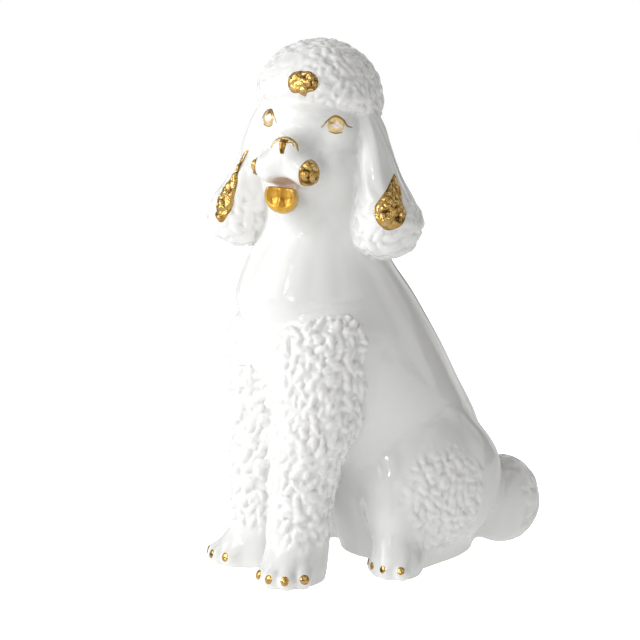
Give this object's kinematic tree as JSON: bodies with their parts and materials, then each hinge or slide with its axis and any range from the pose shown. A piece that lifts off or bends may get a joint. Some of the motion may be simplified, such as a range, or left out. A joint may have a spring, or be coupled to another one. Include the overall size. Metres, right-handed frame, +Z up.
{
  "type": "ceramic dog figurine",
  "caption": "Seated poodle figurine in white glazed earthenware, head turned to its left, curly coat in relief, with gold lustre on claws, ears, lips, nose, eyes and topknot.",
  "frame": {"origin": "on the floor plane, at the centre of the flat base under the dog", "axes": "+Z up, the chest faces -Y, the tail is towards +Y, the dog's left side is +X"},
  "size_m": [0.1566, 0.2413, 0.3595],
  "materials": {
    "glaze": "gloss white glaze over slip-cast earthenware",
    "tongue": "gloss amber lustre glaze",
    "lustre": "bright fired gold lustre; stands in for a film of gold"
  },
  "bodies": {
    "root": {"torso": "glaze", "head": "glaze", "topknot": "glaze", "ear_left": "glaze", "ear_right": "glaze", "foreleg_left": "glaze", "foreleg_right": "glaze", "hindleg_left": "glaze", "hindleg_right": "glaze", "tail": "glaze", "tongue": "tongue", "topknot_gilding": "lustre", "eye_gilding_left": "lustre", "eye_gilding_right": "lustre", "nose_gilding": "lustre", "whisker_gilding_left": "lustre", "whisker_gilding_right": "lustre", "ear_gilding_left": "lustre", "ear_gilding_right": "lustre", "foreleg_left_claws": "lustre", "foreleg_right_claws": "lustre", "hindleg_left_claws": "lustre", "hindleg_right_claws": "lustre"}
  },
  "joints": []
}
